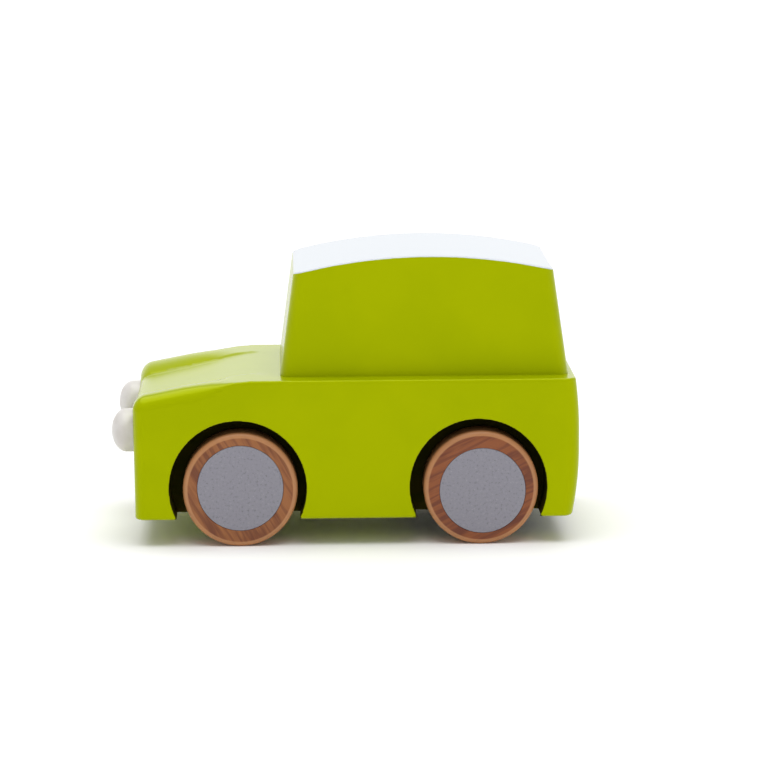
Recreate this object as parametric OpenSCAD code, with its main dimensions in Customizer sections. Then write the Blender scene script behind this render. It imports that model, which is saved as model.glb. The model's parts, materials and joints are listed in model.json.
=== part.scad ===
// Pull back car: a painted wooden toy car on four beech wheels, driven by a spring motor.
// Millimetres. +X points forward, +Y to the car's left, +Z up.
// The origin is on the ground, under the middle of the bounding box.

/* [Body] */
// Length of the wooden body, without the headlights
body_length = 109.6; // [106:0.1:116]
// Width of the wooden body
body_width = 60; // [58:1:68]
// Height of the body's underside above the ground
ground_clearance = 6.7; // [6.3:0.1:6.9]
// Height of the flat top of the lower body, on which the cabin stands
belt_height = 41.1; // [40.6:0.1:44]
// Rounding of the body's edges
edge_radius = 1; // [0.6:0.1:2]

/* [Bonnet] */
// Distance from the front face back to where the fenders begin to slope
fender_kink = 24.2; // [18:0.1:26]
// Distance from the front face back to where the channel begins
channel_start = 28.6; // [28:0.1:32]
// Slope of the fenders' tops, in degrees
fender_slope = 10.9; // [8:0.1:11.5]
// Slope of the channel between the fenders, in degrees
channel_slope = 12.4; // [12:0.1:14]
// Width of each raised fender
fender_width = 12; // [10:0.5:14]

/* [Cabin] */
// Distance from the front face back to the foot of the windscreen
windscreen_foot = 36.2; // [34:0.1:40]
// Length of the cabin where it stands on the body
cabin_length = 71.1; // [66:0.1:72]
// Width of the cabin
cabin_width = 48; // [46:1:54]
// Height of the roof's front edge above the ground
roof_front_height = 66.6; // [64:0.1:70]
// Height of the roof's rear edge above the ground
roof_rear_height = 67.2; // [64:0.1:70]
// Rise of the roof's arc between those edges
roof_rise = 3.9; // [2:0.05:5]
// Lean of the windscreen, in degrees
windscreen_lean = 7.7; // [4:0.1:12]
// Lean of the rear window's face, in degrees
rear_lean = 8.2; // [4:0.1:12]

/* [Headlights] */
// Diameter of the domed pegs
headlight_diameter = 10.7; // [9:0.1:12]
// How far they stand out of the front face
headlight_out = 5.4; // [4.8:0.1:7]
// Distance between their centres
headlight_spacing = 42.8; // [38:0.1:45]
// Height of their centres above the ground
headlight_height = 27.9; // [27:0.1:28.5]

/* [Wheels] */
// Diameter of the wheels
wheel_diameter = 28.2; // [27.8:0.1:29]
// Thickness of the wheels
wheel_thickness = 9; // [8:0.5:9]
// Distance between the two axles
wheelbase = 59.1; // [57:0.1:61]
// Distance from the front face back to the front axle
front_overhang = 26.2; // [25:0.1:28]
// Gap between the wheels and the arches
arch_gap = 2.75; // [2:0.05:3]
// How far the arches' centres sit ahead of the axles
arch_forward = 0.6; // [0:0.1:1]
// How far the arches' centres sit above the axles
arch_up = 0.25; // [0:0.05:0.5]
// Diameter of the disc let into each wheel
disc_diameter = 21.1; // [16:0.1:22]

/* [Hidden] */
$fn = 48;

// Where things are along the car
front_x = (body_length - headlight_out) / 2;
rear_x = front_x - body_length;
front_axle_x = front_x - front_overhang;
rear_axle_x = front_axle_x - wheelbase;
axle_height = wheel_diameter / 2;

// Body details
front_lean = 0.3;
rear_tuck = 1.75;
rear_tuck_height = 16.8;
rear_top_set_in = 0.9;
rear_top_set_in_height = 13.1;
rear_curve_steps = 8;
nose_height = belt_height - fender_kink * tan(fender_slope);
plan_corner_radius = 2.2;
arch_radius = axle_height + arch_gap;
side_play = 1;
well_wall_y = body_width / 2 - wheel_thickness - side_play;
glue_gap = 0.03;

// Cabin joint
dowel_radius = 3;
dowel_length = 18;
dowel_places = [[8, 12], [-8, -12]];

// Headlight pegs
headlight_radius = headlight_diameter / 2;
headlight_dome = 3.6;
headlight_dome_steps = 12;
headlight_socket = 9;

// Axles and wheels
axle_radius = 1.5;
running_gap = 0.05;
wheel_bore_depth = 6;
wheel_chamfer = 0.7;
disc_depth = 1.6;
front_disc_offset = [0, 0.45];
rear_disc_offset = [-0.4, -0.7];
axle_end_y = well_wall_y + side_play + wheel_bore_depth - 0.1;
bush_radius = 2.5;
bush_length = 8;
bush_flange_radius = 4;
flange_thickness = 0.8;
axle_passage_radius = 2.2;
washer_radius = 3.6;

// Gears: short involute teeth
gear_module = 0.5;
pressure_angle = 25;
tooth_addendum = 0.8 * gear_module;
tooth_dedendum = gear_module;
tooth_thinning = 0.06;
flank_steps = 3;
axle_teeth = 12;
drive_wheel_teeth = 30;
drive_pinion_teeth = 10;
spring_teeth = 40;
idler_teeth = 14;
shift_travel = 1.1;

// Centres of the motor's shafts, measured from the rear axle as [forward, up].
// The spring gear sits above the axle, the drive gear meshes with both behind
// that line, and the winding idler meshes with both in front of it.
spring_distance = 12.4;
spring_angle = 74;
spring_centre = polar(spring_distance, spring_angle);
drive_centre = polar(
    mesh_distance(axle_teeth, drive_wheel_teeth),
    spring_angle + corner_angle(
        mesh_distance(axle_teeth, drive_wheel_teeth),
        spring_distance,
        mesh_distance(drive_pinion_teeth, spring_teeth)
    )
);
idler_centre = polar(
    mesh_distance(axle_teeth, idler_teeth),
    spring_angle - corner_angle(
        mesh_distance(axle_teeth, idler_teeth),
        spring_distance,
        mesh_distance(idler_teeth, spring_teeth)
    )
);

// Both floating shafts slide straight away from the axle and the spring gear.
// The drive gear rests in mesh; the idler rests at the far end of its slot.
drive_shift = shift_travel * away(drive_centre);
idler_shift = shift_travel * away(idler_centre);
idler_rest = idler_centre + idler_shift;

// Turned positions that put the teeth in mesh
axle_phase = 0;
drive_wheel_phase = mesh_phase([0, 0], axle_phase, axle_teeth, drive_centre, drive_wheel_teeth);
idler_phase = mesh_phase([0, 0], axle_phase, axle_teeth, idler_centre, idler_teeth);
spring_phase = mesh_phase(idler_centre, idler_phase, idler_teeth, spring_centre, spring_teeth);
drive_pinion_phase = mesh_phase(spring_centre, spring_phase, spring_teeth, drive_centre, drive_pinion_teeth);

// Layers across the motor, as [from, to] along Y
spring_gear_layer = [-1, 1.2];
drive_pinion_layer = [-1.4, 1.4];
drive_wheel_layer = [-4.4, -2];
axle_pinion_layer = [-4.6, -1.8];
idler_layer = [-4.6, 1.4];
spring_layer = [2.8, 8.8];

// Motor case
case_half_width = 11;
case_wall = 1.2;
case_cover = 1.4;
case_gap = 0.3;
drum_inner_radius = 9.2;
drum_outer_radius = 10.1;
drum_edge_y = 1.8;
arbor_radius = 2;
pivot_radius = 1.2;
shaft_radius = 0.8;
boss_radius = 2.3;
boss_places = [[16.5, 16.7], [13.4, -4.4], [-14.5, -4.4]];
case_screw_radius = 0.8;
case_screw_head = [1.7, 1.2];
flange_half_length = 19.6;
flange_half_width = 17.6;
flange_depth = 2;
mount_screw_places = [for (x = [-16.6, 16.6], y = [-14.6, 14.6]) [x, y]];
mount_screw_radius = 1.2;
mount_screw_head_radius = 2.6;
mount_screw_length = 10;
pocket_half_width = case_half_width + case_gap;
pocket_top = axle_height + spring_centre[1] + tip_radius(spring_teeth) + case_gap + case_wall + case_gap;

// Mainspring
spring_strip = 0.35;
spring_turns = 5;
spring_steps_per_turn = 18;
spring_inner_radius = arbor_radius + 0.2;
spring_outer_radius = 8.9;

// Colours
lime_paint = [0.64, 0.69, 0.01];
white_paint = [0.93, 0.93, 0.95];
beech = [0.72, 0.45, 0.28];
disc_grey = [0.54, 0.53, 0.57];
steel = [0.7, 0.71, 0.73];
black_plastic = [0.12, 0.12, 0.13];
white_nylon = [0.88, 0.87, 0.82];
spring_steel = [0.36, 0.38, 0.42];

// ---- Helpers ----

// The point at a radius and an angle
function polar(radius, angle) = [radius * cos(angle), radius * sin(angle)];

// Points of a circular arc from p to q that swells to the left by the rise
function bow(p, q, rise, steps = 10) =
    let (
        chord = norm(q - p),
        along = (q - p) / chord,
        left = [-along[1], along[0]],
        radius = (chord * chord / 4 + rise * rise) / (2 * rise),
        half = asin(chord / 2 / radius)
    )
    [for (i = [0:steps])
        let (a = half * (2 * i / steps - 1))
        (p + q) / 2 + along * radius * sin(a) + left * (radius * cos(a) - radius + rise)];

// The angle between sides a and b of a triangle whose third side is c
function corner_angle(a, b, c) = acos((a * a + b * b - c * c) / (2 * a * b));

// The direction that leads away from the axle and the spring gear alike
function away(centre) = unit(unit(centre) + unit(centre - spring_centre));
function unit(v) = v / norm(v);

// Rounds the outer corners of a flat shape
module rounded(radius) {
    offset(radius, $fn = 24)
        offset(-radius)
            children();
}

// Stands a flat shape in the XZ plane and gives it a thickness from y0 to y1
module slab(y0, y1) {
    translate([0, y1, 0])
        rotate([90, 0, 0])
            linear_extrude(y1 - y0)
                children();
}

// A round bar along Y
module bar(radius, y0, y1) {
    translate([0, y1, 0])
        rotate([90, 0, 0])
            cylinder(r = radius, h = y1 - y0);
}

// Moves to a place on the car's side view
module at(x, z) {
    translate([x, 0, z])
        children();
}

// Moves to a place measured from the rear axle
module at_motor(place) {
    at(rear_axle_x + place[0], axle_height + place[1])
        children();
}

// The same shape on the car's left and on its right
module both_sides() {
    children();
    mirror([0, 1, 0])
        children();
}

// ---- Wooden body ----

module lower_body() {
    color(lime_paint)
        difference() {
            body_blank();
            bonnet_channel();
            both_sides()
                wheel_wells();
            front_axle_bore();
            motor_pocket();
            dowel_holes();
            headlight_sockets();
        }
}

// The sawn and sanded block: its side view crossed with its plan
module body_blank() {
    intersection() {
        slab(-body_width / 2, body_width / 2)
            rounded(edge_radius)
                polygon(body_outline());
        translate([rear_x, -body_width / 2, 0])
            linear_extrude(belt_height + 1)
                rounded(plan_corner_radius)
                    square([body_length, body_width]);
    }
}

// The body's side view, clockwise from the rear of the underside
function body_outline() = concat(
    [for (i = [rear_curve_steps:-1:0])
        let (part = i / rear_curve_steps)
        [rear_x + rear_tuck * part * part, ground_clearance + rear_tuck_height * (1 - part)]],
    [for (i = [0:rear_curve_steps])
        let (part = i / rear_curve_steps)
        [rear_x + rear_top_set_in * part * part, belt_height - rear_top_set_in_height * (1 - part)]],
    [
        [front_x - fender_kink, belt_height],
        [front_x, nose_height],
        [front_x - front_lean, ground_clearance]
    ]
);

// The sunken middle of the bonnet, a little steeper than the fenders
module bonnet_channel() {
    channel_half_width = body_width / 2 - fender_width;
    at(front_x - channel_start, belt_height)
        rotate([0, channel_slope, 0])
            translate([0, -channel_half_width, 0])
                cube([channel_start * 1.2, 2 * channel_half_width, channel_start]);
}

module wheel_wells() {
    for (x = [front_axle_x, rear_axle_x])
        at(x + arch_forward, axle_height + arch_up)
            bar(arch_radius, well_wall_y, body_width / 2 + 1);
}

module front_axle_bore() {
    at(front_axle_x, axle_height) {
        bar(axle_passage_radius, -well_wall_y - 1, well_wall_y + 1);
        both_sides()
            bar(bush_radius + glue_gap, well_wall_y - bush_length, well_wall_y + 1);
    }
}

// The motor drops into this pocket from below, its axle through the two slots
module motor_pocket() {
    translate([rear_axle_x, 0, 0]) {
        pocket_box(flange_half_length + case_gap, pocket_half_width, pocket_top);
        pocket_box(
            flange_half_length + case_gap,
            flange_half_width + case_gap,
            ground_clearance + flange_depth
        );
        for (place = mount_screw_places)
            translate([place[0], place[1], ground_clearance])
                cylinder(r = mount_screw_radius + glue_gap, h = mount_screw_length + 1);
        translate([-axle_passage_radius, -well_wall_y - 1, 0])
            cube([2 * axle_passage_radius, 2 * well_wall_y + 2, axle_height]);
        translate([0, 0, axle_height])
            bar(axle_passage_radius, -well_wall_y - 1, well_wall_y + 1);
    }
}

module pocket_box(half_length, half_width, top) {
    translate([-half_length, -half_width, 0])
        cube([2 * half_length, 2 * half_width, top]);
}

module dowel_holes() {
    for (place = dowel_places)
        translate([place[0], place[1], belt_height - dowel_length / 2 - 1])
            cylinder(r = dowel_radius + glue_gap, h = dowel_length + 2);
}

module headlight_sockets() {
    for (side = [-1, 1])
        translate([front_x - headlight_socket, side * headlight_spacing / 2, headlight_height])
            rotate([0, 90, 0])
                cylinder(r = headlight_radius + glue_gap, h = headlight_socket + 2);
}

module cabin_block() {
    color(lime_paint)
        difference() {
            slab(-cabin_width / 2, cabin_width / 2)
                polygon(cabin_outline());
            dowel_holes();
        }
}

// The cabin's side view, clockwise from the rear of its foot
function cabin_outline() =
    let (
        front_foot = front_x - windscreen_foot,
        rear_foot = front_foot - cabin_length,
        front_rise = roof_front_height - belt_height,
        rear_rise = roof_rear_height - belt_height,
        roof_rear = [rear_foot + rear_rise * tan(rear_lean), roof_rear_height],
        roof_front = [front_foot - front_rise * tan(windscreen_lean), roof_front_height]
    )
    concat(
        [[rear_foot, belt_height]],
        bow(roof_rear, roof_front, roof_rise, 20),
        [[front_foot, belt_height]]
    );

module cabin_dowels() {
    color(beech)
        for (place = dowel_places)
            translate([place[0], place[1], belt_height - dowel_length / 2])
                cylinder(r = dowel_radius, h = dowel_length);
}

// A turned peg whose end is half an ellipsoid, glued into its socket
module headlight() {
    straight = headlight_out - headlight_dome;
    dome = [for (i = [0:headlight_dome_steps])
        let (a = 90 * i / headlight_dome_steps)
        [headlight_radius * cos(a), straight + headlight_dome * sin(a)]];
    color(white_paint)
        translate([front_x, headlight_spacing / 2, headlight_height])
            rotate([0, 90, 0])
                rotate_extrude()
                    polygon(concat(
                        [[0, 0.1 - headlight_socket], [headlight_radius, 0.1 - headlight_socket]],
                        dome
                    ));
}

module headlight_left() {
    headlight();
}

module headlight_right() {
    mirror([0, 1, 0])
        headlight();
}

// ---- Axles and wheels ----

module front_axle() {
    color(steel)
        at(front_axle_x, axle_height)
            bar(axle_radius, -axle_end_y, axle_end_y);
}

module rear_axle() {
    color(steel)
        at(rear_axle_x, axle_height)
            bar(axle_radius, -axle_end_y, axle_end_y);
}

// Flanged sleeves pressed into the wood from the wheel wells
module front_axle_bushes() {
    color(white_nylon)
        at(front_axle_x, axle_height)
            both_sides()
                difference() {
                    union() {
                        bar(bush_radius, well_wall_y - bush_length + 0.2, well_wall_y);
                        bar(bush_flange_radius, well_wall_y, well_wall_y + flange_thickness);
                    }
                    bar(axle_radius + running_gap, 0, body_width);
                }
}

module rear_axle_washers() {
    washer_start = well_wall_y + 0.1;
    color(white_nylon)
        at(rear_axle_x, axle_height)
            both_sides()
                difference() {
                    bar(washer_radius, washer_start, washer_start + flange_thickness);
                    bar(axle_radius + glue_gap, 0, body_width);
                }
}

// A turned wheel on the left side, with a blind bore and a recess for its disc
module wheel(x, disc_offset) {
    rim = wheel_diameter / 2;
    bore = axle_radius + glue_gap;
    color(beech)
        difference() {
            translate([x, well_wall_y + side_play, axle_height])
                rotate([-90, 0, 0])
                    rotate_extrude($fn = 96)
                        polygon([
                            [bore, 0],
                            [rim - wheel_chamfer, 0],
                            [rim, wheel_chamfer],
                            [rim, wheel_thickness - wheel_chamfer],
                            [rim - wheel_chamfer, wheel_thickness],
                            [0, wheel_thickness],
                            [0, wheel_bore_depth],
                            [bore, wheel_bore_depth]
                        ]);
            at(x + disc_offset[0], axle_height + disc_offset[1])
                bar(disc_diameter / 2 + glue_gap, body_width / 2 - disc_depth, body_width / 2 + 1);
        }
}

// The speckled disc, a little off the wheel's centre as on the real car
module disc(x, disc_offset) {
    color(disc_grey)
        at(x + disc_offset[0], axle_height + disc_offset[1])
            bar(disc_diameter / 2, body_width / 2 - disc_depth + glue_gap, body_width / 2);
}

module front_wheel_left() {
    wheel(front_axle_x, front_disc_offset);
}

module front_wheel_right() {
    mirror([0, 1, 0])
        wheel(front_axle_x, front_disc_offset);
}

module rear_wheel_left() {
    wheel(rear_axle_x, rear_disc_offset);
}

module rear_wheel_right() {
    mirror([0, 1, 0])
        wheel(rear_axle_x, rear_disc_offset);
}

module front_disc_left() {
    disc(front_axle_x, front_disc_offset);
}

module front_disc_right() {
    mirror([0, 1, 0])
        disc(front_axle_x, front_disc_offset);
}

module rear_disc_left() {
    disc(rear_axle_x, rear_disc_offset);
}

module rear_disc_right() {
    mirror([0, 1, 0])
        disc(rear_axle_x, rear_disc_offset);
}

// ---- Gears ----

function pitch_radius(teeth) = gear_module * teeth / 2;
function tip_radius(teeth) = pitch_radius(teeth) + tooth_addendum;
function mesh_distance(teeth_a, teeth_b) = pitch_radius(teeth_a) + pitch_radius(teeth_b);

// The involute of an angle, in degrees
function involute(angle) = tan(angle) * 180 / PI - angle;

// The turn that puts gear b in mesh with gear a
function mesh_phase(centre_a, phase_a, teeth_a, centre_b, teeth_b) =
    let (line = atan2(centre_b[1] - centre_a[1], centre_b[0] - centre_a[0]))
    line + 180 - (180 - (line - phase_a) * teeth_a) / teeth_b;

// Half the angle a tooth covers at a given radius
function half_tooth(teeth, radius) =
    let (
        pitch = pitch_radius(teeth),
        base = pitch * cos(pressure_angle),
        at_pitch = 90 / teeth - tooth_thinning / (2 * pitch) * 180 / PI
    )
    at_pitch + involute(pressure_angle) - involute(acos(min(1, base / radius)));

function gear_outline(teeth) =
    let (
        pitch = pitch_radius(teeth),
        root = pitch - tooth_dedendum,
        start = max(root, pitch * cos(pressure_angle)),
        flank = [for (i = [0:flank_steps]) start + (tip_radius(teeth) - start) * i / flank_steps],
        foot = start > root ? [root] : []
    )
    [for (k = [0:teeth - 1])
        let (middle = 360 * k / teeth)
        each concat(
            [for (r = foot) polar(r, middle - half_tooth(teeth, start))],
            [for (r = flank) polar(r, middle - half_tooth(teeth, r))],
            [for (i = [flank_steps:-1:0]) polar(flank[i], middle + half_tooth(teeth, flank[i]))],
            [for (r = foot) polar(r, middle + half_tooth(teeth, start))]
        )];

module toothed_wheel(teeth, phase, layer) {
    slab(layer[0], layer[1])
        rotate(phase)
            polygon(gear_outline(teeth));
}

module axle_pinion() {
    color(white_nylon)
        at_motor([0, 0])
            difference() {
                toothed_wheel(axle_teeth, axle_phase, axle_pinion_layer);
                bar(axle_radius + glue_gap, -case_half_width, case_half_width);
            }
}

// A large wheel driven onto a small pinion in one moulding
module drive_gear() {
    hub_radius = pitch_radius(drive_pinion_teeth) - tooth_dedendum;
    color(white_nylon)
        at_motor(drive_centre)
            difference() {
                union() {
                    toothed_wheel(drive_wheel_teeth, drive_wheel_phase, drive_wheel_layer);
                    bar(hub_radius, drive_wheel_layer[1] - 0.1, drive_pinion_layer[0] + 0.1);
                    toothed_wheel(drive_pinion_teeth, drive_pinion_phase, drive_pinion_layer);
                }
                bar(shaft_radius + running_gap, -case_half_width, case_half_width);
            }
}

module winding_idler() {
    color(white_nylon)
        at_motor(idler_rest)
            difference() {
                toothed_wheel(idler_teeth, idler_phase, idler_layer);
                bar(shaft_radius + running_gap, -case_half_width, case_half_width);
            }
}

// The gear that winds the mainspring: its arbor turns in both covers
module spring_gear() {
    pivot_end = case_half_width - 0.1;
    color(white_nylon)
        at_motor(spring_centre) {
            toothed_wheel(spring_teeth, spring_phase, spring_gear_layer);
            bar(arbor_radius, spring_gear_layer[1] - 0.1, spring_layer[1] + 0.2);
            bar(pivot_radius, -pivot_end, pivot_end);
        }
}

module drive_shaft() {
    color(steel)
        at_motor(drive_centre)
            bar(shaft_radius, 0.1 - case_half_width, case_half_width - 0.1);
}

module winding_shaft() {
    color(steel)
        at_motor(idler_rest)
            bar(shaft_radius, 0.1 - case_half_width, case_half_width - 0.1);
}

// A flat steel strip coiled around the arbor
module mainspring() {
    steps = spring_turns * spring_steps_per_turn;
    growth = spring_outer_radius - spring_strip - spring_inner_radius;
    inner_edge = [for (i = [0:steps])
        polar(spring_inner_radius + growth * i / steps, 360 * i / spring_steps_per_turn)];
    outer_edge = [for (i = [steps:-1:0])
        polar(spring_inner_radius + spring_strip + growth * i / steps, 360 * i / spring_steps_per_turn)];
    color(spring_steel)
        at_motor(spring_centre)
            slab(spring_layer[0], spring_layer[1])
                polygon(concat(inner_edge, outer_edge));
}

// ---- Motor case ----

// The case's side view, with or without the thickness of its wall
module case_outline(margin) {
    lowest = ground_clearance + case_wall - margin;
    intersection() {
        hull() {
            case_lobe([0, 0], axle_teeth, margin);
            case_lobe(spring_centre, spring_teeth, margin);
            case_lobe(drive_centre, drive_wheel_teeth, margin);
            case_lobe(drive_centre + drive_shift, drive_wheel_teeth, margin);
            case_lobe(idler_rest, idler_teeth, margin);
        }
        translate([-body_length / 2, lowest - axle_height])
            square(body_length);
    }
}

module case_lobe(place, teeth, margin) {
    translate(place)
        circle(r = tip_radius(teeth) + case_gap + margin);
}

module case_bosses() {
    for (place = boss_places)
        translate(place)
            circle(r = boss_radius);
}

// A slot along which a floating shaft slides
module shaft_slot(place, shift) {
    slab(-case_half_width - 1, case_half_width + 1)
        hull()
            for (end = [place, place + shift])
                translate(end)
                    circle(r = shaft_radius + running_gap);
}

// Everything that both halves share, still in one piece
module whole_case() {
    inside = case_half_width - case_cover;
    at_motor([0, 0])
        difference() {
            union() {
                slab(-case_half_width, case_half_width)
                    case_outline(case_wall);
                slab(-case_half_width, case_half_width)
                    case_bosses();
                case_flange();
            }
            slab(-inside, inside)
                difference() {
                    case_outline(0);
                    case_bosses();
                }
            bar(axle_radius + running_gap, -body_width, body_width);
            translate([spring_centre[0], 0, spring_centre[1]])
                bar(pivot_radius + running_gap, -case_half_width - 1, case_half_width + 1);
            shaft_slot(drive_centre, drive_shift);
            shaft_slot(idler_centre, idler_shift);
            case_screw_holes();
            mount_screw_holes();
        }
}

module case_flange() {
    translate([-flange_half_length, -flange_half_width, ground_clearance - axle_height])
        cube([2 * flange_half_length, 2 * flange_half_width, flange_depth]);
}

module case_screw_holes() {
    for (place = boss_places)
        translate([place[0], 0, place[1]]) {
            bar(case_screw_radius + glue_gap, -case_half_width - 1, case_half_width - case_cover);
            bar(case_screw_head[0] + 0.1, -case_half_width - 1, case_screw_head[1] - case_half_width);
        }
}

module mount_screw_holes() {
    for (place = mount_screw_places)
        translate([place[0], place[1], ground_clearance - axle_height])
            mount_screw_shape(glue_gap);
}

// A countersunk screw pointing up, its head flush with z = 0
module mount_screw_shape(gap) {
    head_height = mount_screw_head_radius - mount_screw_radius;
    cylinder(r1 = mount_screw_head_radius + gap, r2 = mount_screw_radius + gap, h = head_height);
    cylinder(r = mount_screw_radius + gap, h = mount_screw_length);
}

// The half of space on one side of the case's parting plane
module parting_half(side) {
    translate([rear_axle_x - body_length / 2, side > 0 ? 0 : -body_width, 0])
        cube([body_length, body_width, body_length]);
}

module motor_case_left() {
    inside = case_half_width - case_cover;
    color(black_plastic) {
        intersection() {
            whole_case();
            parting_half(1);
        }
        at_motor(spring_centre)
            difference() {
                bar(drum_outer_radius, drum_edge_y, inside + 0.1);
                bar(drum_inner_radius, drum_edge_y - 1, inside + 1);
            }
    }
}

module motor_case_right() {
    color(black_plastic)
        intersection() {
            whole_case();
            parting_half(-1);
        }
}

module motor_case_screws() {
    color(steel)
        for (place = boss_places)
            at_motor(place)
                difference() {
                    union() {
                        bar(case_screw_radius, -case_half_width + 0.2, case_half_width - case_cover - 0.2);
                        bar(case_screw_head[0], -case_half_width, case_screw_head[1] - case_half_width - 0.05);
                    }
                    at(0, 0)
                        screw_cross(case_screw_head[0], case_half_width);
                }
}

// The cross recess in the head of a case screw
module screw_cross(head_radius, head_y) {
    for (turn = [0, 90])
        rotate([0, turn, 0])
            translate([-head_radius * 0.6, -head_y - 1, -0.25])
                cube([head_radius * 1.2, 1.6, 0.5]);
}

module motor_mount_screws() {
    color(steel)
        translate([rear_axle_x, 0, ground_clearance])
            for (place = mount_screw_places)
                translate([place[0], place[1], 0])
                    difference() {
                        mount_screw_shape(0);
                        for (turn = [0, 90])
                            rotate(turn)
                                translate([-1.5, -0.3, -1])
                                    cube([3, 0.6, 1.8]);
                    }
}

lower_body();
cabin_block();
cabin_dowels();
headlight_left();
headlight_right();
front_axle();
front_axle_bushes();
rear_axle();
rear_axle_washers();
front_wheel_left();
front_wheel_right();
rear_wheel_left();
rear_wheel_right();
front_disc_left();
front_disc_right();
rear_disc_left();
rear_disc_right();
motor_case_left();
motor_case_right();
motor_case_screws();
motor_mount_screws();
axle_pinion();
drive_gear();
drive_shaft();
winding_idler();
winding_shaft();
spring_gear();
mainspring();
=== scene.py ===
"""Looks of the wooden pull back car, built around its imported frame.

Metres, +X forward, +Y to the car's left, +Z up, the ground at z = 0. Both blocks of wood are
written as distance fields, so that every edge gets its own rounding, and then meshed. Everything
round is turned on a lathe. The motor and the axles keep their CAD shapes and get new materials.
"""

import json
import math

import bpy
import numpy as np
import openvdb
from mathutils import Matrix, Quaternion, Vector


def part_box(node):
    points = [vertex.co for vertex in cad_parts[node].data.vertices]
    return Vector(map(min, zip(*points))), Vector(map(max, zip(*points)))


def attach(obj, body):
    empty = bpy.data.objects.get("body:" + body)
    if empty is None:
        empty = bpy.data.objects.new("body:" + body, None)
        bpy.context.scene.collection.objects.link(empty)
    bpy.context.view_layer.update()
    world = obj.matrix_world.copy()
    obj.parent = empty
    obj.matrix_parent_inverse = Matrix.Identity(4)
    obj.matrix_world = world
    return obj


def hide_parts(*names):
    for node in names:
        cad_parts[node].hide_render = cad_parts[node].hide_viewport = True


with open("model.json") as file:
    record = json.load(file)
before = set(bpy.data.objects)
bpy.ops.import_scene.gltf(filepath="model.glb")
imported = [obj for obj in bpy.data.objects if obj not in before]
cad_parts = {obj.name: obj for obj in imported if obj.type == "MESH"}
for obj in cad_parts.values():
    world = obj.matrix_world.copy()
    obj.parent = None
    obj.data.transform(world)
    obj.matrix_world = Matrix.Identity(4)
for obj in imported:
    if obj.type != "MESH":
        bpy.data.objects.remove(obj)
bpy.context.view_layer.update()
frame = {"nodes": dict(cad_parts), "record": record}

MM = 0.001


def middle(node):
    """The middle of a CAD node's box."""
    low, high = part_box(node)
    return (low + high) / 2


# ---- Sizes: places come from the frame, shapes from these values ----

BODY_LOW, BODY_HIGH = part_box("lower_body")
CABIN_LOW, CABIN_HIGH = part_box("cabin_block")
WHEEL_LOW, WHEEL_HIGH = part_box("front_wheel_left")
PEG_LOW, PEG_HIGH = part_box("headlight_left")
CASE_LOW, CASE_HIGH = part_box("motor_case_left")
DOWELS_LOW, DOWELS_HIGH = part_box("cabin_dowels")
SCREWS_LOW, SCREWS_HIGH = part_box("motor_mount_screws")
FRONT_AXLE = middle("front_axle")
REAR_AXLE = middle("rear_axle")

# Body block
FRONT_X, REAR_X = BODY_HIGH.x, BODY_LOW.x
BELT_Z, UNDERSIDE_Z = BODY_HIGH.z, BODY_LOW.z
HALF_WIDTH = BODY_HIGH.y
FRONT_LEAN = 0.3 * MM
REAR_TUCK = 1.75 * MM
REAR_TUCK_HEIGHT = 16.8 * MM
REAR_TOP_SET_IN = 0.9 * MM
REAR_TOP_SET_IN_HEIGHT = 13.1 * MM
FENDER_KINK = 21.7 * MM
FENDER_SLOPE = math.radians(10.9)
FENDER_WIDTH = 12 * MM
FENDER_CREST = 4.5 * MM
CROWN_RADIUS = 14 * MM
CROWN_START = 26.5 * MM
CROWN_FADE = 9 * MM
CHANNEL_START = 28.6 * MM
CHANNEL_SLOPE = math.radians(12.4)
CHANNEL_ROUND = 0.9 * MM
CHANNEL_FOOT_ROUND = 1.2 * MM
CORNER_ROUND = 2.4 * MM
BELT_ROUND = 0.5 * MM
NOSE_ROUND = 3 * MM
UNDERSIDE_ROUND = 0.8 * MM
KINK_ROUND = 2 * MM

# Wheels and their wells
WHEEL_RADIUS = (WHEEL_HIGH.z - WHEEL_LOW.z) / 2
WHEEL_EDGE_ROUND = 1.1 * MM
WHEEL_SIDE_PLAY = 1 * MM
WHEEL_BORE_DEPTH = 6 * MM
DISC_DEPTH = 1.6 * MM
DISC_EDGE_ROUND = 0.15 * MM
RECESS_ROUND = 0.15 * MM
AXLE_RADIUS = 1.5 * MM
ARCH_GAP = 2.75 * MM
ARCH_OFFSET = Vector((0.6, 0, 0.25)) * MM
ARCH_EDGE_ROUND = 0.3 * MM
ARCH_RADIUS = WHEEL_RADIUS + ARCH_GAP
WELL_WALL_Y = WHEEL_LOW.y - WHEEL_SIDE_PLAY

# Cabin block
WINDSCREEN_LEAN = math.radians(7.7)
REAR_LEAN = math.radians(8.2)
ROOF_FRONT_Z = 66.6 * MM
ROOF_REAR_Z = 67.2 * MM
CABIN_CORNER_ROUND = 2.9 * MM
ROOF_ROUND = 0.5 * MM
FOOT_SINK = 0.2 * MM

# Headlight pegs
PEG_RADIUS = (PEG_HIGH.y - PEG_LOW.y) / 2
PEG_DOME = 3.6 * MM

# Hidden holes
GLUE_GAP = 0.05 * MM
CASE_GAP = 0.3 * MM
CASE_HALF_WIDTH = 11 * MM
CASE_FLANGE = 2 * MM
BUSH_RADIUS = 2.5 * MM
BUSH_LENGTH = 8 * MM
AXLE_PASSAGE_RADIUS = 2.2 * MM
DOWEL_RADIUS = 3 * MM
SCREW_RADIUS = 1.2 * MM
SCREW_HEAD_RADIUS = 2.6 * MM

# Mesh detail
FIELD_STEP = 0.35 * MM
FIELD_MARGIN = 3
FLAT_MERGING = 0.02
SLOPE_STEP = 0.01 * MM
SETTLING_ROUNDS = 4
LEAST_STEEPNESS = 0.25
LATHE_TURNS = 144
LATHE_SHARP = math.radians(40)
ARC_STEPS = 6


# ---- Distance fields: negative inside, positive outside ----


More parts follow.
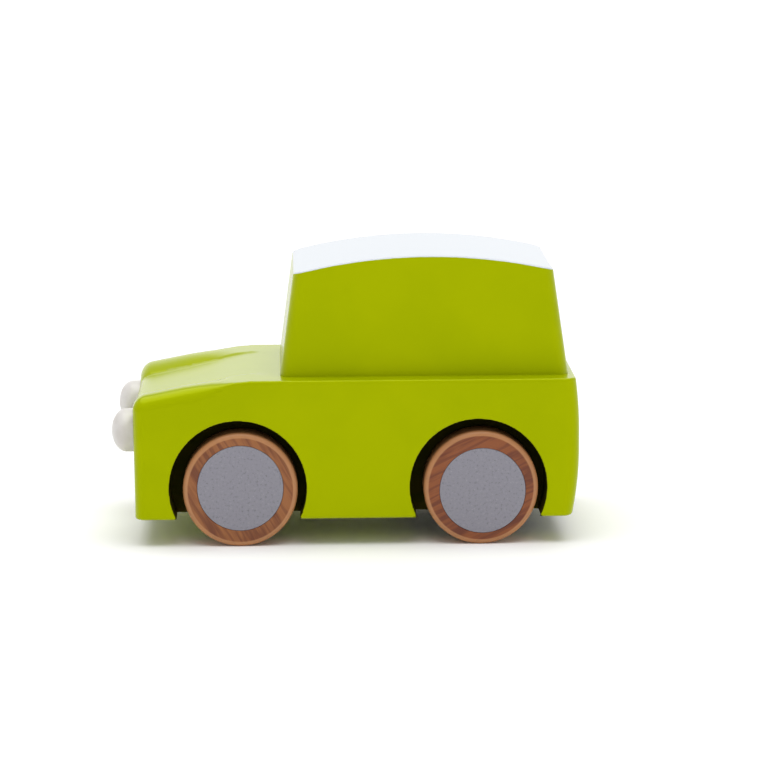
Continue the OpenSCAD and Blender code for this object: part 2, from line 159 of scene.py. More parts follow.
def common(a, b, radius=0.0):
    """What two shapes share, with the edge between them rounded."""
    sharp = np.minimum(np.maximum(a, b), -radius)
    return sharp + np.hypot(np.maximum(a + radius, 0), np.maximum(b + radius, 0))


def carve(shape, tool, radius=0.0):
    """The shape with the tool cut out of it, and the edge of the cut rounded."""
    return common(shape, -tool, radius)


def round_hole(a, b, centre, radius):
    """Distance from a round hole's wall, seen along its axis."""
    return np.hypot(a - centre[0], b - centre[1]) - radius


def front_of_face(x, z):
    """Distance in front of the front face, which leans forward from the underside to the nose."""
    nose_z = BELT_Z - FENDER_KINK * math.tan(FENDER_SLOPE)
    return x - FRONT_X + FRONT_LEAN * (nose_z - z) / (nose_z - UNDERSIDE_Z)


def behind_face(x, z):
    """Distance behind the rear face, which curves in towards its top and its bottom."""
    below = np.maximum(UNDERSIDE_Z + REAR_TUCK_HEIGHT - z, 0) / REAR_TUCK_HEIGHT
    above = np.maximum(z - BELT_Z + REAR_TOP_SET_IN_HEIGHT, 0) / REAR_TOP_SET_IN_HEIGHT
    return REAR_X + REAR_TUCK * below**2 + REAR_TOP_SET_IN * above**2 - x


def above_slope(x, z, start, slope):
    """Distance above a slope that leaves the flat top this far behind the front."""
    return (z - BELT_Z) * math.cos(slope) + (x - FRONT_X + start) * math.sin(slope)


def sanded(x):
    """How much the bonnet is sanded round: not at all beside the cabin, fully on the slope."""
    part = np.clip((x - FRONT_X + CROWN_START) / CROWN_FADE, 0, 1)
    return part * part * (3 - 2 * part)


def body_top(x, y, z):
    """The flat top and the fenders, which are crowned from side to side where they slope."""
    from_crest = np.minimum(np.abs(np.abs(y) - HALF_WIDTH + FENDER_CREST), FENDER_WIDTH - FENDER_CREST)
    crown = sanded(x) * from_crest**2 / (2 * CROWN_RADIUS)
    fender = common(z - BELT_Z, above_slope(x, z, FENDER_KINK, FENDER_SLOPE) + crown, KINK_ROUND)
    return np.maximum(np.minimum(fender, above_slope(x, z, CHANNEL_START, CHANNEL_SLOPE)), z - BELT_Z)


def body_blank(x, y, z):
    """The body before anything is cut out of it."""
    ends = np.maximum(front_of_face(x, z), behind_face(x, z))
    outline = common(np.abs(y) - HALF_WIDTH, ends, CORNER_ROUND)
    top_edge_round = BELT_ROUND + (NOSE_ROUND - BELT_ROUND) * sanded(x)
    blank = common(outline, body_top(x, y, z), top_edge_round)
    return common(blank, UNDERSIDE_Z - z, UNDERSIDE_ROUND)


def bonnet_channel(x, y, z):
    """The sunken middle of the bonnet, with a hollow curve along the foot of its walls."""
    below_floor = -above_slope(x, z, CHANNEL_START, CHANNEL_SLOPE)
    return common(np.abs(y) - HALF_WIDTH + FENDER_WIDTH, below_floor, CHANNEL_FOOT_ROUND)


def wheel_wells(x, y, z):
    """The round wells above all four wheels."""
    front = round_hole(x, z, (FRONT_AXLE + ARCH_OFFSET).xz, ARCH_RADIUS)
    rear = round_hole(x, z, (REAR_AXLE + ARCH_OFFSET).xz, ARCH_RADIUS)
    return np.maximum(np.minimum(front, rear), WELL_WALL_Y - np.abs(y))


def motor_pocket(x, y, z):
    """The pocket for the motor's case, and the shallow step round it for the case's flange."""
    half_length = (CASE_HIGH.x - CASE_LOW.x) / 2 + CASE_GAP
    along = np.abs(x - REAR_AXLE.x) - half_length
    deep = np.maximum(np.abs(y) - CASE_HALF_WIDTH - CASE_GAP, z - CASE_HIGH.z - CASE_GAP)
    shallow = np.maximum(np.abs(y) - CASE_HIGH.y - CASE_GAP, z - UNDERSIDE_Z - CASE_FLANGE)
    return np.maximum(along, np.minimum(deep, shallow))


def axle_passages(x, y, z):
    """The bores along both axles; the rear one is open below, so that the motor can drop in."""
    bush_hole = round_hole(x, z, FRONT_AXLE.xz, BUSH_RADIUS + GLUE_GAP)
    front = np.minimum(
        round_hole(x, z, FRONT_AXLE.xz, AXLE_PASSAGE_RADIUS),
        np.maximum(bush_hole, WELL_WALL_Y - BUSH_LENGTH - np.abs(y)),
    )
    slot = np.maximum(np.abs(x - REAR_AXLE.x) - AXLE_PASSAGE_RADIUS, z - REAR_AXLE.z)
    rear = np.minimum(round_hole(x, z, REAR_AXLE.xz, AXLE_PASSAGE_RADIUS), slot)
    return np.maximum(np.minimum(front, rear), np.abs(y) - WELL_WALL_Y - MM)


def dowel_holes(x, y, z):
    """The blind holes that body and cabin share for their two dowels."""
    radius = DOWEL_RADIUS + GLUE_GAP
    front = round_hole(x, y, (DOWELS_HIGH.x - DOWEL_RADIUS, DOWELS_HIGH.y - DOWEL_RADIUS), radius)
    rear = round_hole(x, y, (DOWELS_LOW.x + DOWEL_RADIUS, DOWELS_LOW.y + DOWEL_RADIUS), radius)
    return np.maximum(np.minimum(front, rear), np.abs(z - BELT_Z) - (DOWELS_HIGH.z - BELT_Z) - GLUE_GAP)


def screw_holes(x, y, z):
    """The blind holes for the four screws that hold the motor."""
    along = (SCREWS_HIGH.x - SCREWS_LOW.x) / 2 - SCREW_HEAD_RADIUS
    across = SCREWS_HIGH.y - SCREW_HEAD_RADIUS
    holes = round_hole(np.abs(x - REAR_AXLE.x), np.abs(y), (along, across), SCREW_RADIUS + GLUE_GAP)
    return np.maximum(holes, z - SCREWS_HIGH.z - GLUE_GAP)


def headlight_sockets(x, y, z):
    """The blind holes for the two headlight pegs."""
    centre = middle("headlight_left")
    holes = round_hole(np.abs(y), z, centre.yz, PEG_RADIUS + GLUE_GAP)
    return np.maximum(holes, PEG_LOW.x - GLUE_GAP - x)


def body_field(x, y, z):
    """The whole lower body."""
    shape = carve(body_blank(x, y, z), bonnet_channel(x, y, z), CHANNEL_ROUND)
    shape = carve(shape, wheel_wells(x, y, z), ARCH_EDGE_ROUND)
    for holes in (motor_pocket, axle_passages, dowel_holes, screw_holes, headlight_sockets):
        shape = carve(shape, holes(x, y, z))
    return shape


def roof_arc():
    """Centre (x, z) and radius of the roof, an arc through its two edges and its top."""
    front = Vector((CABIN_HIGH.x - (ROOF_FRONT_Z - BELT_Z) * math.tan(WINDSCREEN_LEAN), ROOF_FRONT_Z))
    rear = Vector((CABIN_LOW.x + (ROOF_REAR_Z - BELT_Z) * math.tan(REAR_LEAN), ROOF_REAR_Z))
    chord = front - rear
    square_up = Vector((-chord.y, chord.x)).normalized()
    rise = (CABIN_HIGH.z - (front.y + rear.y) / 2) * square_up.y
    radius = (chord.length_squared / 4 + rise**2) / (2 * rise)
    return (front + rear) / 2 + square_up * (rise - radius), radius


def cabin_field(x, y, z):
    """The cabin: upright sides, leaning windscreen and rear window, arched roof.

    Its foot is pressed a little way into the body, so the joint shows no gap.
    """
    height = z - BELT_Z
    windscreen = (x - CABIN_HIGH.x) * math.cos(WINDSCREEN_LEAN) + height * math.sin(WINDSCREEN_LEAN)
    rear_window = (CABIN_LOW.x - x) * math.cos(REAR_LEAN) + height * math.sin(REAR_LEAN)
    walls = common(np.abs(y) - CABIN_HIGH.y, np.maximum(windscreen, rear_window), CABIN_CORNER_ROUND)
    shape = common(walls, round_hole(x, z, *roof_arc()), ROOF_ROUND)
    return carve(common(shape, BELT_Z - FOOT_SINK - z), dowel_holes(x, y, z))


# ---- Meshes ----


def new_piece(name, points, faces, node):
    """A smooth mesh that stands for a CAD node."""
    mesh = bpy.data.meshes.new(name)
    mesh.from_pydata(points, [], faces)
    mesh.polygons.foreach_set("use_smooth", [True] * len(mesh.polygons))
    piece = bpy.data.objects.new(name, mesh)
    bpy.context.scene.collection.objects.link(piece)
    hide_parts(node)
    return piece


def dress(piece, material, body):
    """Gives a piece its material and its body."""
    piece.data.materials.clear()
    piece.data.materials.append(material)
    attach(piece, body)


def direction(field, points):
    """The slope of a distance field at each point."""
    slope = np.empty_like(points)
    for axis in range(3):
        step = np.zeros(3)
        step[axis] = SLOPE_STEP
        ahead, behind = points + step, points - step
        slope[:, axis] = (field(*ahead.T) - field(*behind.T)) / (2 * SLOPE_STEP)
    return slope


def settle(field, points):
    """Moves points that are close to a field's surface right onto it."""
    for _ in range(SETTLING_ROUNDS):
        slope = direction(field, points)
        steepness = np.maximum(np.sum(slope**2, axis=1), LEAST_STEEPNESS)
        move = np.clip(field(*points.T) / steepness, -FIELD_STEP / 3, FIELD_STEP / 3)
        points = points - slope * move[:, None]
    return points


def skin(field, low, high):
    """Points, faces and surface directions of a distance field inside a box."""
    start = np.array(low) - FIELD_MARGIN * FIELD_STEP
    counts = np.ceil((np.array(high) - start) / FIELD_STEP).astype(int) + FIELD_MARGIN + 1
    lines = [start[axis] + FIELD_STEP * np.arange(counts[axis]) for axis in range(3)]
    x, y, z = np.meshgrid(*lines, indexing="ij", sparse=True)
    grid = openvdb.FloatGrid(float(FIELD_MARGIN))
    grid.copyFromArray(np.ascontiguousarray(field(x, y, z) / FIELD_STEP, dtype=np.float32))
    points, triangles, quads = grid.convertToPolygons(isovalue=0.0, adaptivity=FLAT_MERGING)
    points = settle(field, points.astype(float) * FIELD_STEP + start)
    return points, triangles.tolist() + quads.tolist(), direction(field, points)


def block(node, field, material):
    """Meshes a block of wood, with the field's own directions as its normals."""
    points, faces, slope = skin(field, *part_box(node))
    piece = new_piece(node + "_wood", points, faces, node)
    normals = slope / np.linalg.norm(slope, axis=1, keepdims=True)
    piece.data.normals_split_custom_set_from_vertices(normals)
    dress(piece, material, "chassis")


def arc(centre, radius, start, end):
    """Points (radius, along) of an arc round one corner of a turned profile, in degrees."""
    angles = np.radians(np.linspace(start, end, ARC_STEPS + 1))
    return [(centre[0] + radius * math.cos(a), centre[1] + radius * math.sin(a)) for a in angles]


def lathe(name, rings, centre, axes, node):
    """A turned piece. A ring is (radius, along) or (radius, along, its own centre (a, b))."""
    across_a, across_b, along_axis = axes
    points, loops = [], []
    for radius, along, *off_centre in rings:
        shift_a, shift_b = off_centre[0] if off_centre else (0, 0)
        turns = LATHE_TURNS if radius > 0 else 1
        loops.append(range(len(points), len(points) + turns))
        for k in range(turns):
            angle = 2 * math.pi * k / LATHE_TURNS
            a = shift_a + radius * math.cos(angle)
            b = shift_b + radius * math.sin(angle)
            points.append(centre + across_a * a + across_b * b + along_axis * along)
    faces = []
    for here, there in zip(loops, loops[1:]):
        for k in range(LATHE_TURNS):
            n = (k + 1) % LATHE_TURNS
            corners = [here[k % len(here)], here[n % len(here)], there[n % len(there)], there[k % len(there)]]
            faces.append(list(dict.fromkeys(corners)))
    if across_a.cross(across_b).dot(along_axis) < 0:
        faces = [face[::-1] for face in faces]
    piece = new_piece(name, points, faces, node)
    piece.data.set_sharp_from_angle(angle=LATHE_SHARP)
    return piece


def side_axes(side):
    """The lathe's axes for a piece on the car's left (1) or right (-1): forward, up and outward."""
    return Vector((1, 0, 0)), Vector((0, 0, 1)), Vector((0, side, 0))


def disc_centre(node):
    """A disc's centre, as (forward, up) from its wheel's."""
    shift = middle(node) - middle(node.replace("disc", "wheel"))
    return shift.x, shift.z


def wheel(end, side_name, side, grain_angle):
    """One turned wheel with a blind bore and a recess for its disc."""
    node = f"{end}_wheel_{side_name}"
    disc_low, disc_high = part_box(f"{end}_disc_{side_name}")
    recess = (disc_high.z - disc_low.z) / 2 + GLUE_GAP
    off_centre = disc_centre(f"{end}_disc_{side_name}")
    thickness = WHEEL_HIGH.y - WHEEL_LOW.y
    inner, outer = WHEEL_EDGE_ROUND, thickness - WHEEL_EDGE_ROUND
    rim = WHEEL_RADIUS - WHEEL_EDGE_ROUND
    rings = [(0, WHEEL_BORE_DEPTH), (AXLE_RADIUS + GLUE_GAP, WHEEL_BORE_DEPTH), (AXLE_RADIUS + GLUE_GAP, 0)]
    rings += arc((rim, inner), WHEEL_EDGE_ROUND, -90, 0)
    rings += arc((rim, outer), WHEEL_EDGE_ROUND, 0, 90)
    lip = arc((recess + RECESS_ROUND, thickness - RECESS_ROUND), RECESS_ROUND, 90, 180)
    rings += [(radius, along, off_centre) for radius, along in lip]
    rings += [(recess, thickness - DISC_DEPTH, off_centre), (0, thickness - DISC_DEPTH, off_centre)]
    axle = middle(node)
    centre = Vector((axle.x, side * WHEEL_LOW.y, axle.z))
    piece = lathe(f"{end}_tyre_{side_name}", rings, centre, side_axes(side), node)
    dress(piece, turned_beech(node, centre, grain_angle, WHEEL_TONE[end]), end + "_wheels")


def disc(end, side_name, side, material):
    """The speckled disc in one wheel's recess."""
    node = f"{end}_disc_{side_name}"
    low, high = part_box(node)
    radius, thickness = (high.z - low.z) / 2, high.y - low.y
    edge = arc((radius - DISC_EDGE_ROUND, thickness - DISC_EDGE_ROUND), DISC_EDGE_ROUND, 0, 90)
    rings = [(0, 0), (radius, 0), *edge, (0, thickness)]
    centre = middle(node) - Vector((0, side * thickness / 2, 0))
    piece = lathe(f"{end}_hub_{side_name}", rings, centre, side_axes(side), node)
    dress(piece, material, end + "_wheels")


def headlight(side_name, material):
    """A peg whose end is half an ellipsoid."""
    node = f"headlight_{side_name}"
    length = PEG_HIGH.x - PEG_LOW.x
    rings = [(0, 0), (PEG_RADIUS, 0)]
    for angle in np.radians(np.linspace(0, 90, 4 * ARC_STEPS + 1)):
        rings.append((PEG_RADIUS * math.cos(angle), length - PEG_DOME * (1 - math.sin(angle))))
    rings[-1] = (0, length)
    centre = Vector((PEG_LOW.x, middle(node).y, middle(node).z))
    axes = Vector((0, 1, 0)), Vector((0, 0, 1)), Vector((1, 0, 0))
    piece = lathe(f"peg_{side_name}", rings, centre, axes, node)
    dress(piece, material, "chassis")


# ---- Materials: patterns are in millimetres, measured in the car's own frame ----


def colour(red, green, blue):
    """A display colour from 0 to 255 as the linear colour that shaders take."""
    parts = [part / 255 for part in (red, green, blue)]
    return [part / 12.92 if part <= 0.04045 else ((part + 0.055) / 1.055) ** 2.4 for part in parts] + [1]


class Material:
    """A material's node tree, with short forms of the nodes its pattern needs."""

    def __init__(self, name):
        self.material = bpy.data.materials.new(name)
        self.material.use_nodes = True
        self.tree = self.material.node_tree
        self.tree.nodes.clear()
        metres = self.add("TexCoord").outputs["Object"]
        self.place = self.vector("SCALE", metres, Scale=1 / MM)

    def add(self, kind, inputs=None, **settings):
        """A new node. A socket given as an input is joined to it; anything else is its value."""
        node = self.tree.nodes.new("ShaderNode" + kind)
        for key, value in settings.items():
            setattr(node, key, value)
        for key, value in (inputs or {}).items():
            if isinstance(value, bpy.types.NodeSocket):
                self.tree.links.new(value, node.inputs[key])
            else:
                node.inputs[key].default_value = value
        return node

    def vector(self, operation, a, b=None, **named):
        """A vector sum, difference or scaling."""
        inputs = {0: a, **named}
        if b is not None:
            inputs[1] = b
        return self.add("VectorMath", inputs, operation=operation).outputs["Vector"]

    def maths(self, operation, a, b=0.0):
        return self.add("Math", {0: a, 1: b}, operation=operation).outputs[0]

    def coordinates(self):
        """The three coordinates of the place, in millimetres."""
        return self.add("SeparateXYZ", {0: self.place}).outputs

    def stretched(self, scale, turn=(0, 0, 0), origin=(0, 0, 0)):
        """The place turned about an origin and scaled, for a grain that runs one way."""
        moved = self.vector("SUBTRACT", self.place, origin)
        turned = self.add("VectorRotate", {"Vector": moved, "Rotation": turn}, rotation_type="EULER_XYZ")
        return self.vector("MULTIPLY", turned.outputs[0], scale)

    def noise(self, place, scale=1.0, detail=2.0, roughness=0.5):
        inputs = {"Vector": place, "Scale": scale, "Detail": detail, "Roughness": roughness}
        return self.add("TexNoise", inputs).outputs["Fac"]

    def ramp(self, value, low, high, to_low=0.0, to_high=1.0):
        """Smoothly from one value to another as the input goes from low to high."""
        inputs = {0: value, 1: low, 2: high, 3: to_low, 4: to_high}
        return self.add("MapRange", inputs, interpolation_type="SMOOTHSTEP").outputs[0]

    def mix(self, amount, a, b):
        """Colour a where the amount is 0, colour b where it is 1."""
        return self.add("Mix", {0: amount, 6: a, 7: b}, data_type="RGBA").outputs[2]

    def from_axis(self, axis):
        """Distance, across the car's side view, from an axis along Y."""
        x, _, z = self.coordinates()
        side = self.maths("SUBTRACT", x, axis[0] / MM)
        rise = self.maths("SUBTRACT", z, axis[1] / MM)
        squares = self.maths("ADD", self.maths("MULTIPLY", side, side), self.maths("MULTIPLY", rise, rise))
        return self.maths("SQRT", squares)

    def surface(self, height, depth, **inputs):
        """Joins up the surface, raised by a height pattern that is so many millimetres deep."""
        bump = self.add("Bump", {"Height": height, "Distance": depth * MM, "Strength": 1.0})
        names = {key.replace("_", " "): value for key, value in inputs.items()}
        shader = self.add("BsdfPrincipled", {**names, "Normal": bump.outputs[0]})
        output = self.add("OutputMaterial")
        self.tree.links.new(shader.outputs[0], output.inputs[0])
        return self.material


def body_paint():
    """Lime paint, with wheel wells painted near-black as painted shade, and bare wood where the motor goes
    in.
    """
    shade = Material("lime_body")
    coat, height = lime_coat(shade)
    x, y, z = shade.coordinates()
    across = shade.maths("ABSOLUTE", y)
    rough_edge = shade.ramp(shade.noise(shade.place, 0.9, 3.0), 0.3, 0.7, -0.04, 0.04)

    # The wells' near-black colour is painted shade: it stands in for the shadow deep inside the wells.
    front = shade.from_axis((FRONT_AXLE + ARCH_OFFSET).xz)
    rear = shade.from_axis((REAR_AXLE + ARCH_OFFSET).xz)
    into_well = shade.maths("SUBTRACT", ARCH_RADIUS / MM + 0.4, shade.maths("MINIMUM", front, rear))
    in_from_side = shade.maths("SUBTRACT", (HALF_WIDTH - ARCH_EDGE_ROUND / 2) / MM, across)
    outside_wall = shade.maths("SUBTRACT", across, WELL_WALL_Y / MM - 0.4)
    depth = shade.maths("MINIMUM", shade.maths("MINIMUM", into_well, in_from_side), outside_wall)
    well_shade = shade.ramp(shade.maths("ADD", depth, rough_edge), -0.04, 0.04)

    from_motor = shade.maths("ABSOLUTE", shade.maths("SUBTRACT", x, REAR_AXLE.x / MM))
    along = shade.maths("SUBTRACT", (CASE_HIGH.x - REAR_AXLE.x) / MM + 0.5, from_motor)
    above_underside = shade.maths("SUBTRACT", z, UNDERSIDE_Z / MM + 0.1)
    inside_wall = shade.maths("SUBTRACT", CASE_HIGH.y / MM + 0.5, across)
    below_top = shade.maths("SUBTRACT", CASE_HIGH.z / MM + 0.5, z)
    pocket = shade.maths("MINIMUM", shade.maths("MINIMUM", along, inside_wall), above_underside)
    bare = shade.ramp(shade.maths("MINIMUM", pocket, below_top), -0.04, 0.04)

    surface = shade.mix(well_shade, coat, wood_tone(shade, WELL_SHADE_DARK, WELL_SHADE_LIGHT, (0, 0, 0)))
    surface = shade.mix(bare, surface, wood_tone(shade, BEECH_DARK, BEECH_LIGHT, (0, 0, 0)))
    dull = shade.ramp(shade.maths("MAXIMUM", well_shade, bare), 0, 1, PAINT_ROUGHNESS, 0.8)
    return shade.surface(
        height, 0.012, Base_Color=surface, Roughness=dull, Specular_Tint=LIME_GLOSS, IOR=1.5
    )


def cabin_paint():
    """Lime paint with a white roof. The roof's rounded edge is still lime."""
    shade = Material("lime_cabin")
    coat, height = lime_coat(shade)
    centre, radius = roof_arc()
    below_roof = shade.maths("SUBTRACT", radius / MM, shade.from_axis(centre))
    wander = shade.ramp(shade.noise(shade.place, 0.5, 2.0), 0.3, 0.7, -0.03, 0.03)
    edge = ROOF_PAINT_DEPTH / MM
    lime = shade.ramp(shade.maths("ADD", below_roof, wander), edge - 0.02, edge + 0.02)
    surface = shade.mix(lime, WHITE_PAINT, coat)
    tint = shade.mix(lime, [1, 1, 1, 1], LIME_GLOSS)
    return shade.surface(
        height, 0.012, Base_Color=surface, Roughness=PAINT_ROUGHNESS, Specular_Tint=tint, IOR=1.5
    )


def lime_coat(shade):
    """Colour and height of the lime paint: faint clouds, orange peel and the grain below."""
    clouds = shade.ramp(shade.noise(shade.place, 0.05), 0.35, 0.65)
    fibres = shade.noise(shade.stretched((0.05, 1.2, 1.2)), 1.0, 3.0)
    peel = shade.noise(shade.place, 1.6, 1.0)
    coat = shade.mix(clouds, LIME_DEEP, LIME_PAINT)
    height = shade.maths("ADD", shade.maths("MULTIPLY", fibres, 0.5), shade.maths("MULTIPLY", peel, 0.5))
    return coat, height


def wood_tone(shade, dark, light, turn, origin=(0, 0, 0), streaks=0.45):
    """Wood colour: broad streaks and fine fibres, running along X before the turn."""
    wander = shade.noise(shade.stretched((0.05, 0.12, 0.12), turn, origin), 1.0, 1.0)
    grain = shade.stretched((0.05, streaks, streaks), turn, origin)
    bent = shade.vector("ADD", grain, shade.add("CombineXYZ", {1: wander, 2: wander}).outputs[0])
    broad = shade.ramp(shade.noise(bent, 1.0, 3.0, 0.6), 0.35, 0.62)
    fibres = shade.noise(shade.stretched((0.3, 6, 6), turn, origin), 1.0, 2.0)
    fine = shade.ramp(fibres, 0.3, 0.7, -0.15, 0.15)
    return shade.mix(shade.maths("ADD", broad, fine), dark, light)


def growth_lines(shade, turn, origin):
    """Thin darker lines along the grain, where one year's wood ends and the next begins."""
    across = shade.add("SeparateXYZ", {0: shade.stretched((1, 1, 1), turn, origin)}).outputs[2]
    waves = shade.noise(shade.stretched((0.04, 0.2, 0.2), turn, origin), 1.0, 1.0)
    place = shade.maths("ADD", across, shade.ramp(waves, 0.3, 0.7, -0.8, 0.8))
    phase = shade.maths("MULTIPLY", place, 2 * math.pi / GROWTH_SPACING)
    return shade.ramp(shade.maths("SINE", phase), 0.5, 1.0, 0, 0.6)


def turned_beech(name, centre, grain_angle, tone):
    """Lacquered beech, its grain at an angle across the wheel and paler round the turned rim: partly the
    rim's own lighter wood, partly a painted highlight on its rounded edge.
    """
    shade = Material(name)
    turn = (0, grain_angle, 0)
    dark, light = (
        [channel * part for channel, part in zip(wood, tone)] + [1]
        for wood in (BEECH_DARK, BEECH_LIGHT)
    )
    wood = wood_tone(shade, dark, light, turn, centre / MM)
    wood = shade.mix(growth_lines(shade, turn, centre / MM), wood, dark)
    # The pale band round the rim is partly the turned edge's lighter wood and partly a painted highlight
    # where the rounded edge catches the light.
    from_middle = shade.from_axis((centre.x, centre.z))
    rim = (WHEEL_RADIUS - WHEEL_EDGE_ROUND) / MM
    pale_rim_and_highlight = shade.ramp(from_middle, rim - 0.25, rim + 0.1, 0, 0.75)
    fibres = shade.noise(shade.stretched((0.2, 4, 4), turn, centre / MM), 1.0, 2.0)
    return shade.surface(
        fibres, 0.03, Base_Color=shade.mix(pale_rim_and_highlight, wood, BEECH_RIM_AND_HIGHLIGHT), Roughness=0.42, IOR=1.5
    )


def bare_beech():
    """Unfinished beech for the dowels."""
    shade = Material("bare_beech")
    upright = (0, math.pi / 2, 0)
    fibres = shade.noise(shade.stretched((0.2, 3, 3), upright), 1.0, 2.0)
    wood = wood_tone(shade, BEECH_DARK, BEECH_LIGHT, upright)
    return shade.surface(fibres, 0.05, Base_Color=wood, Roughness=0.75)


def white_paint():
    """Satin white with orange peel, a little worn and dusty in places."""
    shade = Material("white_pegs")
    dusty = shade.ramp(shade.noise(shade.place, 0.25, 3.0), 0.4, 0.7)
    peel = shade.noise(shade.place, 1.5, 1.0)
    surface = shade.mix(dusty, PEG_WHITE, PEG_DUSTY)
    return shade.surface(peel, 0.015, Base_Color=surface, Roughness=shade.ramp(dusty, 0, 1, 0.35, 0.5))


def speckled_grey():
    """Matt grey with fine dark and light specks, like a terrazzo."""
    shade = Material("speckled_grey")
    fine = shade.noise(shade.place, 4.2, 3.0, 0.7)
    coarse = shade.noise(shade.place, 1.4, 2.0, 0.6)
    dark = shade.ramp(shade.maths("MULTIPLY", fine, coarse), 0.14, 0.21)
    light = shade.ramp(shade.maths("MULTIPLY", fine, coarse), 0.32, 0.4)
    surface = shade.mix(light, shade.mix(dark, DISC_DARK, DISC_GREY), DISC_PALE)
    return shade.surface(fine, 0.02, Base_Color=surface, Roughness=shade.ramp(fine, 0.3, 0.7, 0.45, 0.65))


def brushed_metal(name, tone, roughness):
    """Bright metal with fine marks that run round or along the part."""
    shade = Material(name)
    marks = shade.noise(shade.stretched((8, 0.6, 8)), 1.0, 2.0)
    smudges = shade.noise(shade.place, 0.4, 3.0)
    rough = shade.ramp(smudges, 0.3, 0.7, roughness - 0.06, roughness + 0.08)
    worn = shade.mix(smudges, [channel * 0.8 for channel in tone[:3]] + [1], tone)
    return shade.surface(marks, 0.01, Base_Color=worn, Metallic=1.0, Roughness=rough)


def moulded_plastic(name, tone, roughness, translucence=0.0):
    """Moulded plastic: a fine spark-eroded grain, with slightly shinier rubbed patches."""
    shade = Material(name)
    grain = shade.noise(shade.place, 5.0, 2.0)
    rubbed = shade.noise(shade.place, 0.3, 3.0)
    rough = shade.ramp(rubbed, 0.35, 0.65, roughness - 0.08, roughness + 0.06)
    surface = shade.mix(rubbed, [channel * 0.88 for channel in tone[:3]] + [1], tone)
    return shade.surface(
        grain, 0.008, Base_Color=surface, Roughness=rough, Subsurface_Weight=translucence,
        Subsurface_Radius=(0.002, 0.002, 0.002),
    )


# ---- Colours and finishes ----

LIME_PAINT = colour(163, 175, 0)
LIME_DEEP = colour(158, 171, 0)
LIME_GLOSS = [0.9, 1.0, 0.02, 1]
PAINT_ROUGHNESS = 0.22
WHITE_PAINT = colour(199, 205, 212)
ROOF_PAINT_DEPTH = 0.25 * MM
PEG_WHITE = colour(214, 210, 206)
PEG_DUSTY = colour(204, 199, 193)
BEECH_DARK = colour(110, 54, 18)
BEECH_LIGHT = colour(153, 93, 44)
# Pale rim colour: the turned edge's lighter wood, lifted further as a painted highlight.
BEECH_RIM_AND_HIGHLIGHT = colour(190, 134, 86)
GROWTH_SPACING = 2.3
# Near-black colours of the wheel wells: painted shade for the shadow inside them.
WELL_SHADE_DARK = colour(18, 10, 7)
WELL_SHADE_LIGHT = colour(32, 18, 12)
DISC_GREY = colour(139, 137, 147)
DISC_DARK = colour(116, 114, 123)
DISC_PALE = colour(156, 154, 164)


# ---- The car ----

WHEEL_GRAIN = {"front": math.radians(60), "rear": math.radians(-25)}
WHEEL_TONE = {"front": (1, 1, 1), "rear": (0.82, 0.62, 0.42)}
CARRIED_NODES = (
    "cabin_dowels", "front_axle", "front_axle_bushes", "rear_axle", "rear_axle_washers",
    "motor_case_left", "motor_case_right", "motor_case_screws", "motor_mount_screws",
    "axle_pinion", "drive_gear", "drive_shaft", "winding_idler", "winding_shaft",
    "spring_gear", "mainspring",
)


def build_wood():
    """The painted body and cabin, and the headlight pegs."""
    block("lower_body", body_field, body_paint())
    block("cabin_block", cabin_field, cabin_paint())
    white = white_paint()
    for side_name in ("left", "right"):
        headlight(side_name, white)


def build_wheels():
    """Four wheels with their discs. Each pair is sawn from the wood at its own angle."""
    speckled = speckled_grey()
    for end, grain_angle in WHEEL_GRAIN.items():
        for side_name, side in (("left", 1), ("right", -1)):
            wheel(end, side_name, side, grain_angle)
            disc(end, side_name, side, speckled)


def finish_carried_nodes():
    """Materials for the CAD nodes that are shown as they are."""
    finishes = {
        "steel": brushed_metal("zinc_plated_steel", colour(196, 198, 202), 0.32),
        "spring_steel": brushed_metal("blued_spring_steel", colour(112, 120, 140), 0.35),
        "case_plastic": moulded_plastic("black_moulding", colour(38, 38, 41), 0.45),
        "nylon": moulded_plastic("white_nylon", colour(226, 224, 212), 0.35, 0.3),
        "beech": bare_beech(),
    }
    slots = {part["node"]: part["material_slot"] for part in frame["record"]["subparts"]}
    for node in CARRIED_NODES:
        piece = frame["nodes"][node]
        piece.data.materials.clear()
        piece.data.materials.append(finishes[slots[node]])


# ---- Studio ----

FLOOR_SIZE = 30
FLOOR_WHITE = colour(250, 250, 250)
HORIZON_LIGHT = 0.62
ZENITH_LIGHT = 0.5
BACKDROP_LIGHT = 0.55
BACKDROP_EDGES = (-0.92, -0.6)
TOP_LIGHT = 2.2
TOP_LIGHT_SPREAD = math.radians(60)
TOP_LIGHT_FROM = (0, 0.05, 1)
CAMERA_LENS = 163.8
CAMERA_DISTANCE = 875.8 * MM
CAMERA_AZIMUTH = math.radians(178.41)
CAMERA_ELEVATION = math.radians(9.26)
CAMERA_ROLL = math.radians(-0.29)
CAMERA_AIM = Vector((-9.45, 0, 36.14)) * MM


def build_floor():
    """A wide white floor."""
    half = FLOOR_SIZE / 2
    mesh = bpy.data.meshes.new("floor")
    corners = [(-half, -half, 0), (half, -half, 0), (half, half, 0), (-half, half, 0)]
    mesh.from_pydata(corners, [], [(0, 1, 2, 3)])
    floor = bpy.data.objects.new("floor", mesh)
    bpy.context.scene.collection.objects.link(floor)
    shade = Material("studio_floor")
    grain = shade.noise(shade.place, 0.5, 2.0)
    floor.data.materials.append(shade.surface(grain, 0.002, Base_Color=FLOOR_WHITE, Roughness=0.85))


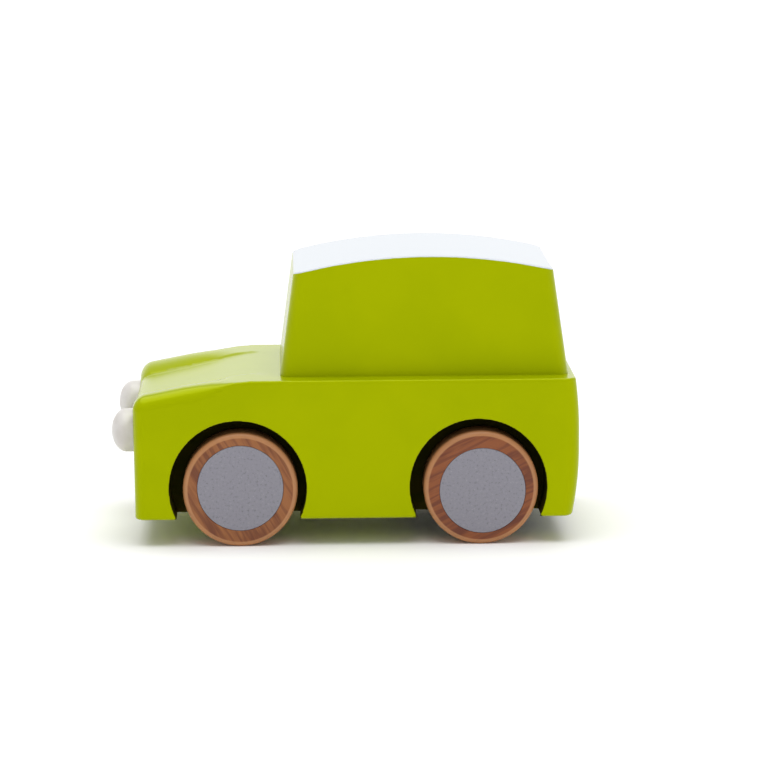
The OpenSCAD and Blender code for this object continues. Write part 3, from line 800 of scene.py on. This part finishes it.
def build_world():
    """White light from all round, brighter towards the horizon and the backdrop."""
    world = bpy.data.worlds.new("studio")
    world.use_nodes = True
    tree = world.node_tree

    def add(kind, **settings):
        node = tree.nodes.new("ShaderNode" + kind)
        for key, value in settings.items():
            setattr(node, key, value)
        return node

    def fade(value, low, high, to_low, to_high):
        node = add("MapRange", interpolation_type="SMOOTHSTEP")
        tree.links.new(value, node.inputs[0])
        for socket, limit in zip(list(node.inputs)[1:5], (low, high, to_low, to_high)):
            socket.default_value = limit
        return node.outputs[0]

    way = add("SeparateXYZ")
    tree.links.new(add("TexCoord").outputs["Generated"], way.inputs[0])
    total = add("Math", operation="ADD")
    tree.links.new(fade(way.outputs["Z"], 0, 1, HORIZON_LIGHT, ZENITH_LIGHT), total.inputs[0])
    tree.links.new(fade(way.outputs["Y"], *BACKDROP_EDGES, BACKDROP_LIGHT, 0), total.inputs[1])
    background = tree.nodes["Background"]
    background.inputs["Color"].default_value = (1, 1, 1, 1)
    tree.links.new(total.outputs[0], background.inputs["Strength"])
    bpy.context.scene.world = world


def build_top_light():
    """A large soft light above the car."""
    light = bpy.data.lights.new("top_light", "SUN")
    light.energy = TOP_LIGHT
    light.angle = TOP_LIGHT_SPREAD
    lamp = bpy.data.objects.new("top_light", light)
    lamp.rotation_euler = Vector(TOP_LIGHT_FROM).to_track_quat("Z", "Y").to_euler()
    bpy.context.scene.collection.objects.link(lamp)


def build_camera():
    """The camera on the car's left, a little above it."""
    camera = bpy.data.objects.new("camera", bpy.data.cameras.new("camera"))
    camera.data.lens = CAMERA_LENS
    level = math.cos(CAMERA_ELEVATION)
    back = Vector((math.sin(CAMERA_AZIMUTH) * level, -math.cos(CAMERA_AZIMUTH) * level, 0))
    back.z = math.sin(CAMERA_ELEVATION)
    camera.location = CAMERA_AIM + back * CAMERA_DISTANCE
    upright = back.to_track_quat("Z", "Y")
    camera.rotation_euler = (upright @ Quaternion((0, 0, 1), CAMERA_ROLL)).to_euler()
    scene = bpy.context.scene
    scene.collection.objects.link(camera)
    scene.camera = camera
    scene.view_settings.view_transform = "Standard"


build_wood()
build_wheels()
finish_carried_nodes()
build_floor()
build_world()
build_top_light()
build_camera()
